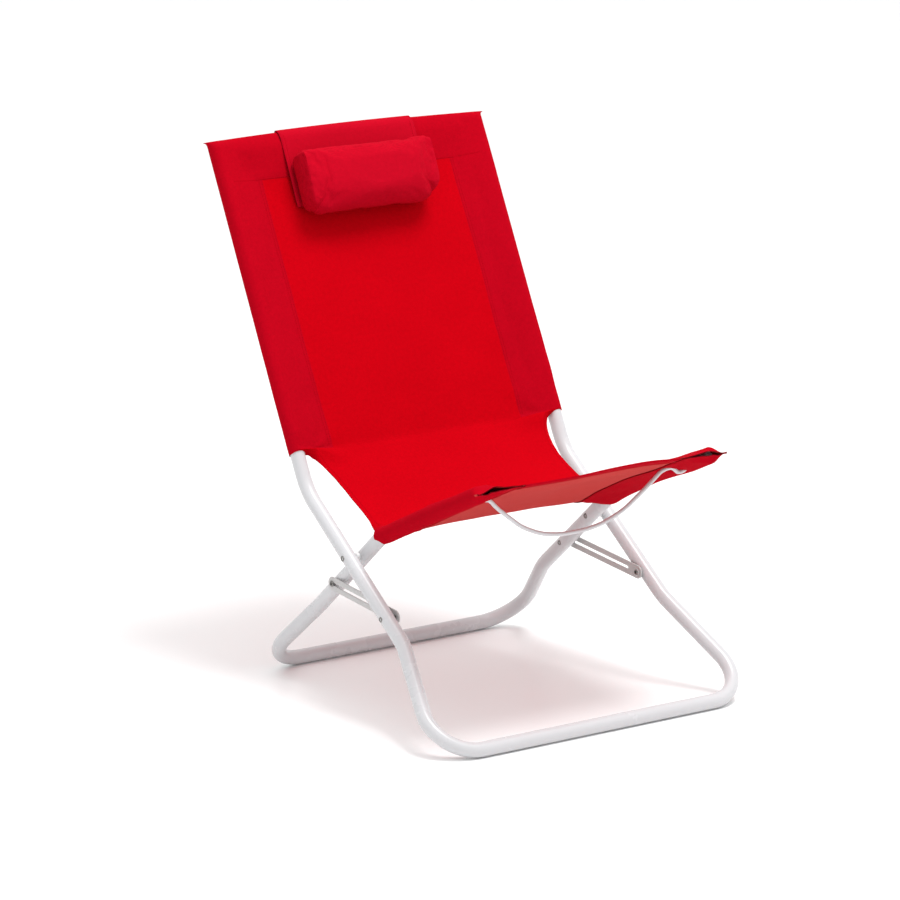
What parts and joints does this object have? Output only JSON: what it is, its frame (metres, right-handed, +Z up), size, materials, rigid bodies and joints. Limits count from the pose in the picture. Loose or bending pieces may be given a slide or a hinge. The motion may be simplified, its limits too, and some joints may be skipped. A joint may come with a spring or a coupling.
{
  "type": "beach chair",
  "caption": "Low folding beach chair: crossed tube frames, slotted lock links, fabric sling with side sleeves, wire seat bow and a head pillow on a flap.",
  "frame": {"origin": "on the floor, at the centre of the open chair's box", "axes": "+X across the chair to the right seen from its front, -Y out of the seat's front, +Z up"},
  "size_m": [0.5448, 0.6666, 0.7781],
  "materials": {
    "frame_paint": "white gloss powder coat over steel tube",
    "link_paint": "light grey-white satin paint on flat steel",
    "rivet_steel": "zinc plated, satin",
    "plug_plastic": "white moulded plastic, matte",
    "sling_fabric": "red coated plain-weave polyester",
    "pillow_fabric": "red plain-weave polyester, padded"
  },
  "bodies": {
    "outer_frame": {"outer_frame_tube": "frame_paint", "back_tube_plug_left": "plug_plastic", "back_tube_plug_right": "plug_plastic", "back_spreader_bar": "frame_paint", "spreader_insert_left": "plug_plastic", "spreader_insert_right": "plug_plastic", "spreader_screw_left": "rivet_steel", "spreader_screw_right": "rivet_steel", "pivot_rivet_left": "rivet_steel", "pivot_rivet_right": "rivet_steel", "pivot_spacer_left": "plug_plastic", "pivot_spacer_right": "plug_plastic", "link_rivet_left": "rivet_steel", "link_rivet_right": "rivet_steel", "link_washer_left": "rivet_steel", "link_washer_right": "rivet_steel", "sling_back": "sling_fabric", "headrest_flap_rear": "pillow_fabric"},
    "inner_frame": {"inner_frame_tube": "frame_paint", "seat_rail_plug_left": "plug_plastic", "seat_rail_plug_right": "plug_plastic", "slot_pin_left": "rivet_steel", "slot_pin_right": "rivet_steel", "slot_pin_head_left": "rivet_steel", "slot_pin_head_right": "rivet_steel", "sling_seat": "sling_fabric", "sling_valley": "sling_fabric"},
    "lock_link_left": {"lock_link_left": "link_paint"},
    "lock_link_right": {"lock_link_right": "link_paint"},
    "seat_bow": {"seat_bow": "frame_paint"},
    "headrest": {"headrest_flap_front": "pillow_fabric", "headrest_pillow": "pillow_fabric"}
  },
  "joints": [
    {"name": "fold", "type": "hinge", "parent": "outer_frame", "child": "inner_frame", "pos_m": [0, -0.02704, 0.2242], "axis": [-1, 0, 0], "range_deg": [0, 84], "deforming": ["sling_valley"]},
    {"name": "link_left", "type": "hinge", "parent": "outer_frame", "child": "lock_link_left", "pos_m": [-0.2132, -0.12394, 0.1567], "axis": [-1, 0, 0], "range_deg": [0, 7.69]},
    {"name": "link_right", "type": "hinge", "parent": "outer_frame", "child": "lock_link_right", "pos_m": [0.2132, -0.12394, 0.1567], "axis": [-1, 0, 0], "range_deg": [0, 7.69]},
    {"name": "bow_swing", "type": "hinge", "parent": "inner_frame", "child": "seat_bow", "pos_m": [0, -0.26384, 0.34466], "axis": [1, 0, 0], "range_deg": [-45, 55]},
    {"name": "headrest_lift", "type": "hinge", "parent": "outer_frame", "child": "headrest", "pos_m": [0, 0.31225, 0.77513], "axis": [-1, 0, 0], "range_deg": [0, 110]}
  ],
  "couplings": [
    {"joint": "link_left", "follows": "fold", "ratio": 0.09145},
    {"joint": "link_right", "follows": "fold", "ratio": 0.09145}
  ]
}
